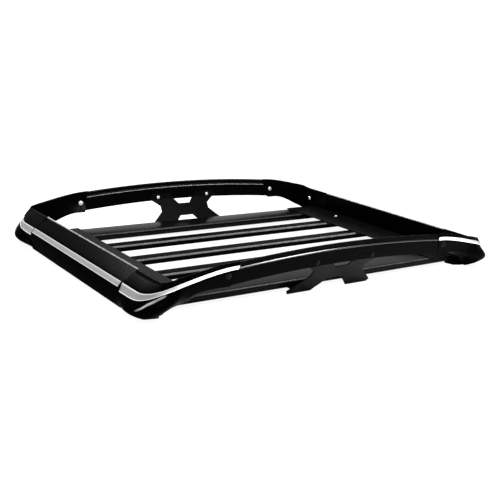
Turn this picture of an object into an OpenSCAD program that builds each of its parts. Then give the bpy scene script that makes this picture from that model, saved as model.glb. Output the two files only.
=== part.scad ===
// Steel roof basket: two arched side hoops, two end fairings with moulded
// corners, and a floor of three slats and two wide side rails.
// X runs along the slats, Y across them from the near hoop to the far one,
// Z is up, and Z = 0 is the underside of the brace plates' feet.

/* [Frame] */
// Distance from the middle to the outer face of each end
end_x = 676; // [660:1:700]
// Distance from the middle to the outer face of each side
side_y = 494; // [480:1:510]
// Plan radius of the rounded corners
corner_r = 90; // [70:1:110]
// Height of the hoops' top edge at mid-length
hoop_top = 167; // [160:1:180]
// Radius of the hoops' arch
arch_r = 4620; // [4000:10:6000]
// Height of the hoops' strap
strap_h = 66; // [58:1:72]
// Outward lean of the hoops in degrees
strap_lean = 10; // [6:1:14]
// Thickness of the formed sheet
sheet_t = 3; // [2:0.5:4]

/* [Ends] */
// Width of an end fairing, from its outer face in to its rim
end_width = 63; // [56:1:70]
// Height of the rim
rim_z = 109.5; // [100:0.1:114]
// Height of the upper edge of the bright stripe on the ends
stripe_z = 77.8; // [72:0.1:82]
// Lowest point of the end fairings
end_z = 5; // [3:1:8]
// Half the length of the straight end fairings
end_half = 322; // [310:1:336]

/* [Floor] */
// Height of the top of the slats and floor rails
floor_z = 37; // [34:1:40]
// Thickness of the slats and floor rails
slat_h = 24; // [16:1:28]
// Width of a slat
slat_w = 51; // [44:1:58]
// Distance between the slats' middle lines
slat_pitch = 167; // [150:1:175]
// Width of each floor rail
rail_w = 98; // [85:1:104]
// Distance from the middle to the middle line of a floor rail
rail_y = 349; // [345:1:352]
// Distance from the middle to the inner edge of the ledges
ledge_x = 470; // [450:1:480]

/* [Brace plates] */
// Thickness of the brace plates
brace_t = 4; // [3:0.5:5]
// Distance from the middle to the feet's outer face
foot_y = 414; // [408:1:420]
// Distance from the middle to the bolts that hold a brace plate
brace_bolt_x = 110; // [100:1:120]
// Radius of the bolt holes in the brace plates and hoops
brace_bolt_r = 5.5; // [4:0.5:7]

/* [Corners] */
// Distance from the middle to the bolt holes in the corners
corner_bolt_x = 428; // [424:1:436]
// Radius of the bolt holes in the corners
corner_bolt_r = 7; // [5:0.5:8]
// Height of the bolt holes in the corners
corner_bolt_z = 112; // [106:1:118]

/* [Hidden] */

lean_slope = tan(strap_lean);
bore_fn = 48;
arch_fn = 720;
// Radius and rise of the pressed bead that runs along a hoop
bead_drop = 17;
bead_rise = 3;
bead_half = 4;
// Flange that the hoop's sheet turns inward along its top
top_flange = 11;
// Seam between hoop and corner: it slants outward toward the bottom
seam_x = 394;
seam_slant = 20;
// Thickness of a corner where it meets the hoop
corner_t = 7;
// How far a corner's body swells past the side walls
corner_puff = 22;
// Drop from a corner's top edge to its stripe at the hoop, and the stripe's
// height at the hoop and at the end
band_drop = 10;
band_h = [12, 26];
// Rings and outline points of the corner's loft
arc_steps = 16;
end_steps = 3;
hoop_steps = 12;
body_steps = 8;
stripe_t = 1.6;
stripe_lift = 0.45;
slat_round = 8;
rim_x = end_x - end_width;
slat_end = rim_x - 8;
ledge_half_y = rail_y + rail_w / 2 + 4;
ledge_t = 3;

// Vectors and outlines

function unit(v) = v / norm(v);
function left(v) = [-v[1], v[0]];
function mix(a, b, t) = a + (b - a) * t;
function clamp(t) = min(1, max(0, t));
function smooth(t) = let (c = clamp(t)) c * c * (3 - 2 * c);

// Point i of a line of points, moved t sideways with the corners mitred
function side_point(p, i, t) =
    let (
        a = unit(p[max(i, 1)] - p[max(i, 1) - 1]),
        b = unit(p[min(i + 1, len(p) - 1)] - p[min(i + 1, len(p) - 1) - 1]),
        m = unit(left(a) + left(b))
    )
    p[i] + m * t / (m * left(a));

// Closed outline of a sheet of thickness t folded along a line of points
function folded(p, t) = concat(p, [for (i = [len(p) - 1 : -1 : 0]) side_point(p, i, t)]);

// Round-cornered bar outline, centred
module round_bar(w, h, r) {
    square([w - 2 * r, h], center = true);
    square([w, h - 2 * r], center = true);
    for (x = [-1, 1], y = [-1, 1])
        translate([x * (w / 2 - r), y * (h / 2 - r)])
            circle(r, $fn = bore_fn);
}

// Hoops

// Outline of the hoop's sheet: distance below the top edge and outward place,
// down the outer face and back up the inner one
function strap_outline() =
    let (
        t = sheet_t,
        over = bead_drop - bead_half,
        under = bead_drop + bead_half
    )
    [
        [2.5, -top_flange],
        [0, -1],
        [1.5, 0],
        [over, -over * lean_slope],
        [bead_drop, bead_rise - bead_drop * lean_slope],
        [under, -under * lean_slope],
        [strap_h, -strap_h * lean_slope],
        [strap_h, -strap_h * lean_slope - t],
        [under, -under * lean_slope - t],
        [bead_drop, bead_rise - bead_drop * lean_slope - t],
        [over, -over * lean_slope - t],
        [t + 1.5, -(t + 1.5) * lean_slope - t],
        [t + 2.5, -top_flange]
    ];

hoop_y = side_y - 3;
seam_foot = seam_x + seam_slant;

module hoop_sheet() {
    arch_deg = 2 * asin((seam_foot + seam_slant) / (arch_r - strap_h));
    translate([0, 0, hoop_top - arch_r])
        rotate([90, 0, 0])
            rotate([0, 0, 90 - arch_deg / 2])
                rotate_extrude(angle = arch_deg, $fn = arch_fn)
                    polygon([for (p = strap_outline()) [arch_r - p[0], hoop_y + p[1]]]);
}

// Space between the two seams, wider at the bottom
module seam_wedge() {
    z_seam = hoop_top - strap_h / 2 - seam_x * seam_x / (2 * arch_r);
    half = seam_x + seam_slant / 2;
    rate = seam_slant / strap_h;
    low = half + 2 * strap_h * rate;
    high = half - 2 * strap_h * rate;
    translate([0, -hoop_y + strap_h, z_seam])
        rotate([90, 0, 0])
            linear_extrude(2 * strap_h)
                polygon([
                    [-low, -2 * strap_h], [low, -2 * strap_h],
                    [high, 2 * strap_h], [-high, 2 * strap_h]
                ]);
}

// Bores across a leaning strap at height z and distance x either side
module strap_bores(x, z, r) {
    for (s = [-1, 1])
        translate([s * x, -hoop_y + (hoop_top - z) * lean_slope, z])
            rotate([90 + strap_lean, 0, 0])
                cylinder(h = strap_h, r = r, center = true, $fn = bore_fn);
}

module near_hoop_rail() {
    color("#141416")
        difference() {
            intersection() {
                hoop_sheet();
                seam_wedge();
            }
            strap_bores(brace_bolt_x, bolt_z, brace_bolt_r);
        }
}

module far_hoop_rail() {
    mirror([0, 1, 0]) near_hoop_rail();
}

// Brace plates: an X of flat sheet that leans out from the floor rail to the hoop

bend_z = hoop_top - strap_h + 1;
bolt_z = bend_z + 10;
tab_face_y = hoop_y - sheet_t / cos(strap_lean);
bend_y = tab_face_y - (hoop_top - bend_z) * lean_slope;
brace_lean = atan((bend_y - foot_y) / bend_z);
brace_len = bend_z / cos(brace_lean);

// Half of the X below the bend, as distance from the middle and height
brace_half = [
    [25, 0.81], [43, 1], [140, 1], [105, 0.77], [105, 0.58],
    [150, 0.23], [168, 0.09], [158, -0.04], [76, -0.04], [28, 0.4]
];
tab_h = 22;
tab_half = [[43, 0], [60, tab_h], [134, tab_h], [146, 6], [140, 0]];

module plate_outline() {
    right = [for (p = brace_half) [p[0], p[1] * brace_len]];
    left_side = [for (i = [len(right) - 1 : -1 : 0]) [-right[i][0], right[i][1]]];
    polygon(concat(right, left_side));
}

// Tabs that reach from the feet in under the floor rail
foot_tab = [80, 140];
foot_tab_reach = 40;

module foot_tabs() {
    under = floor_z - slat_h;
    outer = foot_y + (under - sheet_t) * tan(brace_lean) - brace_t / 2;
    inner = rail_y + rail_w / 2 - foot_tab_reach;
    for (s = [0, 1])
        mirror([s, 0])
            translate([foot_tab[0], -outer, under - sheet_t])
                cube([foot_tab[1] - foot_tab[0], outer - inner, sheet_t]);
}

module near_brace_plate() {
    color("#101012")
        difference() {
            union() {
                translate([0, -foot_y, 0])
                    rotate([90 + brace_lean, 0, 0])
                        translate([0, 0, -brace_t])
                            linear_extrude(brace_t)
                                plate_outline();
                translate([0, -bend_y, bend_z])
                    rotate([90 + strap_lean, 0, 0])
                        translate([0, 0, -brace_t])
                            linear_extrude(brace_t)
                                for (s = [0, 1])
                                    mirror([s, 0])
                                        polygon(tab_half);
                foot_tabs();
            }
            strap_bores(brace_bolt_x, bolt_z, brace_bolt_r);
            translate([-side_y, -2 * side_y, -strap_h]) cube([2 * side_y, 2 * side_y, strap_h]);
        }
}

module far_brace_plate() {
    mirror([0, 1, 0]) near_brace_plate();
}

// End fairings: one folded sheet, open underneath

rim_drop_x = end_x - 15;
stripe_run = [12, 15];
face_top = [rim_drop_x + stripe_run[0], stripe_z - stripe_run[1]];
rim = [rim_x, rim_z];
rim_bead_r = 2.6;
rim_bead = rim + [1.6, -1.6];
// Distance from the fold, width and depth of the groove above the stripe
groove = [2.5, 1.6, 1.3];

function end_face() = [for (j = [1 : 10])
    let (v = j / 10)
    [
        face_top[0] + 4 * sin(180 * v) - 6 * pow(v, 3),
        mix(face_top[1], end_z, v)
    ]
];

// Groove across the sloping top, just above its lower fold
function groove_line() =
    let (
        fold = [rim_drop_x, stripe_z],
        along = unit(fold - rim),
        down = -left(along) * groove[2],
        near_fold = fold - along * groove[0],
        near_rim = near_fold - along * groove[1]
    )
    [near_rim, near_rim + down, near_fold + down, near_fold];

// Inner skin follows the plain fold line; the outer one adds bead and groove
function end_outline() =
    let (
        top = [rim, [rim_drop_x, stripe_z], face_top],
        tail = concat(end_face(), [[end_x - 24, end_z]]),
        fold_line = concat([[rim_x, floor_z]], top, tail),
        bead = [for (a = [210 : -15 : 0]) rim_bead + rim_bead_r * [cos(a), sin(a)]]
    )
    concat(
        [[rim_x, floor_z], [rim_x, rim_bead[1] - rim_bead_r]],
        bead,
        [[rim_bead[0] + rim_bead_r, rim_bead[1] - 1]],
        groove_line(),
        [top[1], top[2]],
        tail,
        [for (i = [len(fold_line) - 1 : -1 : 0]) side_point(fold_line, i, -sheet_t)]
    );

module end_prism(half) {
    translate([0, half, 0])
        rotate([90, 0, 0])
            linear_extrude(2 * half)
                children();
}

module right_end_rail() {
    color("#1b1b1e")
        end_prism(end_half - 0.4)
            polygon(end_outline());
}

module left_end_rail() {
    mirror([1, 0, 0]) right_end_rail();
}

module right_end_stripe() {
    from = [rim_drop_x, stripe_z];
    along = unit(face_top - from);
    color("#b9bbbd")
        end_prism(end_half - 8)
            polygon(folded([from + along, face_top - along], stripe_t));
}

module left_end_stripe() {
    mirror([1, 0, 0]) right_end_stripe();
}

// Ledges: flat sheet inside each end, on top of the slats

hole_place = [rim_x - 53, 44];
hole_r = 12;

module right_ledge() {
    color("#121214")
        difference() {
            translate([ledge_x, -ledge_half_y, floor_z])
                cube([rim_x - ledge_x, 2 * ledge_half_y, ledge_t]);
            translate([hole_place[0], hole_place[1], floor_z - 1])
                cylinder(h = ledge_t + 2, r = hole_r, $fn = bore_fn);
        }
}

module left_ledge() {
    mirror([1, 0, 0]) right_ledge();
}

// Floor: flat bars with round edges that run from ledge to ledge

module floor_bar(y, w) {
    translate([-slat_end, y, floor_z - slat_h / 2])
        rotate([90, 0, 90])
            linear_extrude(2 * slat_end)
                round_bar(w, slat_h, slat_round);
}

module near_floor_rail() {
    color("#2a2b2e") floor_bar(-rail_y, rail_w);
}

module far_floor_rail() {
    color("#2a2b2e") floor_bar(rail_y, rail_w);
}

module near_slat() {
    color("#303134") floor_bar(-slat_pitch, slat_w);
}

module middle_slat() {
    color("#303134") floor_bar(0, slat_w);
}

module far_slat() {
    color("#303134") floor_bar(slat_pitch, slat_w);
}

// Corners: a skin that turns the end fairing's outline into the hoop's strap

arc_x = end_x - corner_r;
arc_y = side_y - corner_r;
end_run = arc_y - end_half;
arc_run = corner_r * PI / 2;
hoop_run = arc_x - seam_x;
path_run = end_run + arc_run + hoop_run;
inner_y = side_y - 19;
inner_turn = 65;

// Places of the rings, as the length of outer edge still to go to the hoop seam
function ring_runs() = concat(
    [for (i = [0 : end_steps - 1]) path_run - end_run * i / end_steps],
    [for (i = [0 : arc_steps - 1]) hoop_run + arc_run * (1 - i / arc_steps)],
    [for (i = [0 : hoop_steps]) hoop_run * (1 - i / hoop_steps)]
);

// Angle turned round the plan corner, q before the hoop seam
function turned(q) = 90 * clamp((hoop_run + arc_run - q) / arc_run);
function out_dir(q) = [cos(turned(q)), sin(turned(q))];

// Plan place of the outer edge
function outer_plan(q) =
    [arc_x, arc_y] + corner_r * out_dir(q)
    + [-max(0, hoop_run - q), -max(0, q - hoop_run - arc_run)];

// Plan place of the inner edge: two straight walls that meet in a corner
function inner_plan(q) =
    let (a = turned(q))
    a == 0 ? [rim_x, outer_plan(q)[1]]
    : a < inner_turn ? [rim_x, mix(arc_y, inner_y, a / inner_turn)]
        : a < 90 ? [mix(rim_x, arc_x, (a - inner_turn) / (90 - inner_turn)), inner_y]
            : [outer_plan(q)[0], mix(side_y - corner_t, inner_y, q / hoop_run)];

// Plan place of the inner foot, which steps in under the floor's end
boot = 36;
function foot_plan(q) =
    let (n = inner_plan(q))
    [n[0], min(n[1], inner_y - boot * smooth((q - boot_start) / boot_run))];

// Runs along the corner, from the hoop seam, over which each change is made
rim_run = 300;
outer_foot_run = 318;
outer_foot_power = 2.6;
inner_foot_start = 50;
inner_foot_run = 225;
boot_start = 140;
boot_run = 80;
band_start = 180;
band_run = 150;
widen_start = 220;
lean_start = 100;
lean_run = 180;
slant_run = 60;
puff_start = 150;
puff_run = 110;
calm_start = 340;
calm_run = 75;
puff_calm = 0.6;
// Share of the width by which the body tucks in at its foot
foot_tuck = 0.2;

// Heights along the corner
seam_top = hoop_top - seam_x * seam_x / (2 * arch_r) + 1;
seam_low = hoop_top - strap_h - seam_foot * seam_foot / (2 * arch_r) - 3;
function top_z(q) = mix(seam_top, rim_z, smooth(q / rim_run));
function outer_low(q) = mix(seam_low, end_z, pow(smooth(q / outer_foot_run), outer_foot_power));
function inner_low(q) = mix(seam_low, end_z, smooth((q - inner_foot_start) / inner_foot_run));
function band_top(q) = top_z(q) - mix(band_drop, rim_z - stripe_z, smooth((q - band_start) / band_run));
function band_low(q) = band_top(q) - mix(band_h[0], band_h[1], smooth((q - widen_start) / band_run));

// How far the section leans with the hoop, slants with the seam, and bulges
function hoop_share(q) = 1 - smooth((q - lean_start) / lean_run);
function seam_share(q) = 1 - smooth(q / slant_run);
function bulge(q) =
    smooth((q - puff_start) / puff_run)
    * (1 - puff_calm * smooth((q - calm_start) / calm_run));

// A point of the section: f runs from the outer edge (0) to the inner edge (1),
// and puff moves it straight out
function section_point(q, f, z, puff = 0) =
    let (
        o = outer_plan(q),
        n = inner_plan(q)
    )
    leaning(q, o + (n - o) * f + out_dir(q) * puff, z);

// A plan place at height z, slanted with the seam and leaning with the hoop
function leaning(q, plan, z) =
    let (fall = top_z(q) - z)
    [
        plan[0] + fall * seam_slant / strap_h * seam_share(q),
        plan[1] - fall * lean_slope * hoop_share(q),
        z
    ];

function band_f(q) = mix(0.1, 15 / end_width, 1 - hoop_share(q));
function foot_f(q) = mix(0.02, 3 / end_width, 1 - hoop_share(q));
function rim_f(q) = mix(0.35, 0.06, 1 - hoop_share(q));

// Whole section, from the inner foot up over the rim, down the outside and
// back under
function section(q) =
    let (
        t = top_z(q),
        b = inner_low(q),
        foot = outer_low(q),
        puff = corner_puff * bulge(q),
        edge = mix(outer_plan(q), inner_plan(q), foot_f(q) + foot_tuck)
    )
    concat(
        [
            leaning(q, foot_plan(q), b),
            section_point(q, 1, mix(b, t, 0.4)),
            section_point(q, 1, t - 2),
            section_point(q, 1 - rim_f(q), t),
            section_point(q, mix(1 - rim_f(q), band_f(q), 0.35), mix(t, band_top(q), 0.33)),
            section_point(q, mix(1 - rim_f(q), band_f(q), 0.7), mix(t, band_top(q), 0.66)),
            section_point(q, band_f(q), band_top(q))
        ],
        [
            for (j = [0 : body_steps])
                let (v = j / body_steps)
                section_point(
                    q,
                    foot_f(q) + foot_tuck * pow(v, 3),
                    mix(band_low(q), foot, v),
                    puff * sin(180 * pow(v, 1.2))
                )
        ],
        [leaning(q, mix(edge, foot_plan(q), 0.5), mix(foot, b, 0.55))]
    );

// Pad under the corner, which reaches in below the floor rail's end
pad_t = 6;
pad_outline = [
    [rim_x + 25, rail_y + 15], [rim_x - 24, rail_y + 15], [rim_x - 38, rail_y + 30],
    [rim_x - 30, rail_y + 62], [rim_x - 4, rail_y + 74], [rim_x + 25, rail_y + 74]
];

module foot_pad() {
    translate([0, 0, end_z - sheet_t])
        linear_extrude(pad_t)
            polygon(pad_outline);
}

function centre(ring) = [for (p = ring) 1] * ring / len(ring);

// Closed solid through rings that all have the same number of points, with a
// fan of triangles round the centre of its first and last ring
module skin(rings) {
    n = len(rings[0]);
    m = len(rings);
    last = (m - 1) * n;
    points = [for (r = rings) each r];
    hubs = [centre(rings[0]), centre(rings[m - 1])];
    sides = [
        for (i = [0 : m - 2], j = [0 : n - 1])
            let (a = i * n + j, b = i * n + (j + 1) % n)
            each [[a, b + n, b], [a, a + n, b + n]]
    ];
    caps = [
        for (j = [0 : n - 1])
            let (k = (j + 1) % n)
            each [[j, k, m * n], [last + k, last + j, m * n + 1]]
    ];
    polyhedron(concat(points, hubs), concat(sides, caps));
}

// The stripe's own section lies on the corner between the band's two edges
function stripe_section(q) =
    let (
        low = section_point(q, foot_f(q), band_low(q)),
        top = section_point(q, band_f(q), band_top(q)),
        out = [out_dir(q)[0], out_dir(q)[1], 0] * stripe_t,
        seat = out * stripe_lift / stripe_t
    )
    [
        mix(top, low, 0.06) + seat,
        mix(top, low, 0.06) + out,
        mix(top, low, 0.94) + out,
        mix(top, low, 0.94) + seat
    ];

module far_right_corner() {
    color("#1a1a1c")
        union() {
            difference() {
                skin([for (q = ring_runs()) section(q)]);
                mirror([0, 1, 0])
                    strap_bores(corner_bolt_x, corner_bolt_z, corner_bolt_r);
            }
            foot_pad();
        }
}

module far_left_corner() {
    mirror([1, 0, 0]) far_right_corner();
}

module near_right_corner() {
    mirror([0, 1, 0]) far_right_corner();
}

module near_left_corner() {
    mirror([1, 0, 0]) near_right_corner();
}

module far_right_stripe() {
    color("#aeb1b3") skin([for (q = ring_runs()) stripe_section(q)]);
}

module far_left_stripe() {
    mirror([1, 0, 0]) far_right_stripe();
}

module near_right_stripe() {
    mirror([0, 1, 0]) far_right_stripe();
}

module near_left_stripe() {
    mirror([1, 0, 0]) near_right_stripe();
}

near_hoop_rail();
far_hoop_rail();
near_brace_plate();
far_brace_plate();
near_left_corner();
near_right_corner();
far_left_corner();
far_right_corner();
near_left_stripe();
near_right_stripe();
far_left_stripe();
far_right_stripe();
left_end_rail();
right_end_rail();
left_end_stripe();
right_end_stripe();
left_ledge();
right_ledge();
near_floor_rail();
far_floor_rail();
near_slat();
middle_slat();
far_slat();
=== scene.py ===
# %% [markdown]
# # A steel roof basket, dressed in Blender
# The CAD model gives every size, and this script gives every finish. Pieces
# made here lie exactly where the CAD says, so nothing has to be fitted by
# eye.

# %% Load the frame
import math

import bmesh
import bpy
from mathutils import Matrix, Vector


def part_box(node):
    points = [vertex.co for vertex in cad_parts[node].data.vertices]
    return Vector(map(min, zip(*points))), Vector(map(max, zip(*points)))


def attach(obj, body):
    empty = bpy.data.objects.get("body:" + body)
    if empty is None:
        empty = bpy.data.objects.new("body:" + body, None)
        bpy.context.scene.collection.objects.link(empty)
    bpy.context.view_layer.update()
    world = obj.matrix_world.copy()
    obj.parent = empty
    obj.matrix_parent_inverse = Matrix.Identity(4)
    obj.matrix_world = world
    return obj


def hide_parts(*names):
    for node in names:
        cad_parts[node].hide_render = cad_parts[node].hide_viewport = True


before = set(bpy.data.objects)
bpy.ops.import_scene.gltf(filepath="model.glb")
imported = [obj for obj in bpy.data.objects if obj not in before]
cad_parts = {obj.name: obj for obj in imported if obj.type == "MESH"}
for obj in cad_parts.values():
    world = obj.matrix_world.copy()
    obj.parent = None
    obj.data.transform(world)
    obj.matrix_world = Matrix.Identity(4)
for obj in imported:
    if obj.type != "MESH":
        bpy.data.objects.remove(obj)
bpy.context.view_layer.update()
MM = 0.001

# %% [markdown]
# The camera stands where the photographer stood: to the left of the basket's
# middle, a little above it, with a long lens and a slight roll. These values
# came from matching holes, seams and edges that the two sides share, and
# FIT_UNIT turns the fit's own unit of length into metres.

# %% Camera
AZIMUTH, ELEVATION, ROLL = map(math.radians, (-36.37, 15.37, 3.72))
FOCAL_PX, FRAME_PX, SENSOR_MM = 812.0, 500.0, 36.0
FIT_UNIT = 0.428
SHIFT = Vector((0.0229, 0.2238, -6.586)) * FIT_UNIT
LOOK_AT = Vector((0, 0, 0.112))

back = Vector((
    math.sin(AZIMUTH) * math.cos(ELEVATION),
    -math.cos(AZIMUTH) * math.cos(ELEVATION),
    math.sin(ELEVATION),
))
right = (-back).cross(Vector((0, 0, 1))).normalized()
up = right.cross(-back)
turned_right = right * math.cos(ROLL) + up * math.sin(ROLL)
turned_up = -right * math.sin(ROLL) + up * math.cos(ROLL)
turn = Matrix((turned_right, turned_up, back)).transposed()

camera_data = bpy.data.cameras.new("camera")
camera_data.sensor_width = SENSOR_MM
camera_data.lens = SENSOR_MM * FOCAL_PX / FRAME_PX
camera = bpy.data.objects.new("camera", camera_data)
bpy.context.scene.collection.objects.link(camera)
camera.matrix_world = Matrix.Translation(LOOK_AT - turn @ SHIFT) @ turn.to_4x4()
bpy.context.scene.camera = camera
print("camera at", [round(c, 3) for c in camera.location], "lens", round(camera_data.lens, 2))

# %% [markdown]
# ## The studio
# Product photographs of black goods use a white room. The floor and the world
# are white where the lens sees them, and the lamps are large and soft. Black
# paint then shows only what it mirrors, which is how its form can be read.

# %% World
ROOM_LIGHT = 0.7
scene = bpy.context.scene
scene.view_settings.view_transform = "Standard"


def nodes_of(owner):
    """Empties an owner's node tree and gives its nodes and its links."""
    owner.use_nodes = True
    owner.node_tree.nodes.clear()
    return owner.node_tree.nodes, owner.node_tree.links


def mixed(nodes, links, share, first, second):
    """Shows the second shader by the share and the first by the rest."""
    mix = nodes.new("ShaderNodeMixShader")
    links.new(share.outputs[0], mix.inputs[0])
    links.new(first.outputs[0], mix.inputs[1])
    links.new(second.outputs[0], mix.inputs[2])
    return mix.outputs[0]


world = bpy.data.worlds.new("studio")
scene.world = world
nodes, links = nodes_of(world)
path = nodes.new("ShaderNodeLightPath")
seen = nodes.new("ShaderNodeMath")
seen.operation = "MAXIMUM"
links.new(path.outputs["Is Camera Ray"], seen.inputs[0])
links.new(path.outputs["Is Glossy Ray"], seen.inputs[1])
lit = nodes.new("ShaderNodeBackground")
lit.inputs["Color"].default_value = (0.95, 0.97, 1.0, 1)
lit.inputs["Strength"].default_value = ROOM_LIGHT
shown = nodes.new("ShaderNodeBackground")
shown.inputs["Color"].default_value = (1, 1, 1, 1)
shown.inputs["Strength"].default_value = 1.0
out = nodes.new("ShaderNodeOutputWorld")
links.new(mixed(nodes, links, seen, lit, shown), out.inputs["Surface"])
print("world", world.name)

# %% [markdown]
# The floor glows for the lens alone, so that it stays white up to the basket,
# and its share of plain paint still takes the soft shadow under the bars.

# %% Floor
FLOOR_SHARE, FLOOR_GLOW = 0.85, 1.1
FLOOR_HALF, FLOOR_DROP = 12.0, 0.0008

floor_material = bpy.data.materials.new("floor_white")
nodes, links = nodes_of(floor_material)
path = nodes.new("ShaderNodeLightPath")
share = nodes.new("ShaderNodeMath")
share.operation = "MULTIPLY"
share.inputs[1].default_value = FLOOR_SHARE
links.new(path.outputs["Is Camera Ray"], share.inputs[0])
paint = nodes.new("ShaderNodeBsdfDiffuse")
paint.inputs["Color"].default_value = (0.9, 0.9, 0.9, 1)
glow = nodes.new("ShaderNodeEmission")
glow.inputs["Strength"].default_value = FLOOR_GLOW
out = nodes.new("ShaderNodeOutputMaterial")
links.new(mixed(nodes, links, share, paint, glow), out.inputs["Surface"])

floor_mesh = bpy.data.meshes.new("floor")
signs = ((-1, -1), (1, -1), (1, 1), (-1, 1))
floor_points = [(x * FLOOR_HALF, y * FLOOR_HALF, 0) for x, y in signs]
floor_mesh.from_pydata(floor_points, [], [(0, 1, 2, 3)])
floor_mesh.materials.append(floor_material)
floor = bpy.data.objects.new("floor", floor_mesh)
scene.collection.objects.link(floor)
floor.location.z = -FLOOR_DROP
print("floor", 2 * FLOOR_HALF, "m wide")

# %% [markdown]
# One lamp above lights the whole. The three small ones are there to be seen in
# the paint: each lies where one face mirrors it to the camera, and so draws
# the bead's bright line, the corner's crease or the sheen on the end's slope.

# %% Lamps


def lamp(name, place, target, size, radiance):
    """A rectangular softbox whose power follows from its size and radiance."""
    data = bpy.data.lights.new(name, "AREA")
    data.shape = "RECTANGLE"
    data.size, data.size_y = size
    data.energy = radiance * math.pi * size[0] * size[1]
    lamp_object = bpy.data.objects.new(name, data)
    scene.collection.objects.link(lamp_object)
    lamp_object.location = place
    aim = Vector(target) - Vector(place)
    lamp_object.rotation_euler = aim.to_track_quat("-Z", "Y").to_euler()


lamp("top_light", (0.2, 0.6, 3.2), (0, 0, 0), (4.0, 3.0), 1.6)
lamp("bead_strip", (0.475, -0.88, 1.03), (-0.19, -0.49, 0.15), (0.5, 0.3), 85)
lamp("corner_strip", (-1.25, -1.10, 0.95), (-0.62, -0.46, 0.06), (0.7, 0.07), 40)
lamp("end_softbox", (-0.42, 1.08, 1.12), (-0.64, -0.25, 0.09), (0.8, 0.3), 70)

# %% [markdown]
# ## Finishes
# One helper writes all the painted finishes. Powder coat is a skin of melted
# powder: slightly uneven in colour, a little duller in patches, and with a
# fine orange-peel relief. The noise runs in object space, in metres, so its
# grain has a real size on every piece.

# %% Finish helpers


def link_noise(nodes, links, scale, detail):
    """Noise over the object's own space, with its scale per metre."""
    coords = nodes.new("ShaderNodeTexCoord")
    noise = nodes.new("ShaderNodeTexNoise")
    noise.inputs["Scale"].default_value = scale
    noise.inputs["Detail"].default_value = detail
    links.new(coords.outputs["Object"], noise.inputs["Vector"])
    return noise.outputs["Fac"]


def spread(nodes, links, value, low, high, start=0.3, end=0.7):
    """Maps the values from start to end onto low to high."""
    ramp = nodes.new("ShaderNodeMapRange")
    ramp.inputs["From Min"].default_value = start
    ramp.inputs["From Max"].default_value = end
    ramp.inputs["To Min"].default_value = low
    ramp.inputs["To Max"].default_value = high
    links.new(value, ramp.inputs["Value"])
    return ramp.outputs["Result"]


def blend_colour(nodes, links, factor, first, second):
    """Mixes two colours, each a value or another node's output."""
    mix = nodes.new("ShaderNodeMix")
    mix.data_type = "RGBA"
    links.new(factor, mix.inputs["Factor"])
    for socket, colour in ((mix.inputs[6], first), (mix.inputs[7], second)):
        if isinstance(colour, tuple):
            socket.default_value = (*colour, 1)
        else:
            links.new(colour, socket)
    return mix.outputs[2]


def times(nodes, links, a, b):
    product = nodes.new("ShaderNodeMath")
    product.operation = "MULTIPLY"
    links.new(a, product.inputs[0])
    links.new(b, product.inputs[1])
    return product.outputs[0]


# %% [markdown]
# The highlights on the bars' rounded edges, the fairings' rims, the corners' crease and the lip of
# the hoop's groove are painted into the colour, all in one light colour. Each mask below says
# where such a painted highlight runs. Two read a value that the mesh carries, and two follow from
# the place, because the rim is level and the hoop's groove keeps to the arch.

# %% Painted highlights
# The light colour of all the painted highlights.
PAINTED_HIGHLIGHT = (0.34, 0.342, 0.345)
HOOP_TOP, ARCH_R, SIDE_Y, SHEET_T = 167.0, 4620.0, 494.0, 3.0
BEAD_DROP, LIP_DROP = 17.0, 2.0
RIM_GLINT, LIP_GLINT = (0.1072, 0.1084), (0.0014, 0.0026)


def edge_mask(nodes, links, most=1.0):
    """Bars carry their own edge value as an attribute, which places a painted highlight."""
    edge = nodes.new("ShaderNodeAttribute")
    edge.attribute_name = "edge"
    return spread(nodes, links, edge.outputs["Fac"], 0, most, 0.35, 0.85)


# The rails get a weaker painted highlight on their edges.
def soft_edge_mask(nodes, links):
    return edge_mask(nodes, links, 0.3)


def crease_mask(nodes, links):
    """Corners carry their crease as a second unwrapping, which places a painted highlight along
    it.
    """
    marks = nodes.new("ShaderNodeUVMap")
    marks.uv_map = "marks"
    split = nodes.new("ShaderNodeSeparateXYZ")
    links.new(marks.outputs[0], split.inputs[0])
    return spread(nodes, links, split.outputs["X"], 0, 1, 0.1, 0.6)


def object_place(nodes, links):
    """The place in the object's own space, split into X, Y and Z."""
    coords = nodes.new("ShaderNodeTexCoord")
    split = nodes.new("ShaderNodeSeparateXYZ")
    links.new(coords.outputs["Object"], split.inputs[0])
    return split.outputs


def rim_mask(nodes, links):
    """The rims of the two end fairings are their highest edges, with a painted highlight along
    them.
    """
    return spread(nodes, links, object_place(nodes, links)["Z"], 0, 0.7, *RIM_GLINT)


def groove_mask(nodes, links):
    """The bead's back is a groove in the hoop, with a painted highlight along its lip."""
    place = object_place(nodes, links)
    level = None
    for operation, first, second in (
        ("MULTIPLY", place["X"], place["X"]),
        ("DIVIDE", None, 2 * ARCH_R * MM),
        ("ADD", None, place["Z"]),
        ("SUBTRACT", None, (HOOP_TOP - BEAD_DROP - LIP_DROP) * MM),
        ("ABSOLUTE", None, None),
    ):
        step = nodes.new("ShaderNodeMath")
        step.operation = operation
        links.new(first or level, step.inputs[0])
        if isinstance(second, float):
            step.inputs[1].default_value = second
        elif second:
            links.new(second, step.inputs[1])
        level = step.outputs[0]
    return spread(nodes, links, level, 0.9, 0, *LIP_GLINT)


# %% [markdown]
# A paint's shine is one value, or rises from a low to a high value between two
# heights. The ends and corners use that: their lower faces stay deep black in
# the photograph, while the slopes above them take a sheen.

# %% Paints
# The third noise breaks up the painted highlights.
PATCHES, SPECKS, HIGHLIGHT_BREAKUP = (9.0, 4.0), (260.0, 3.0), (45.0, 5.0)
DUST_GAIN, DUST_LIFT = 1.8, 0.0003
PEEL_DEPTH = 0.0004


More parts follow.
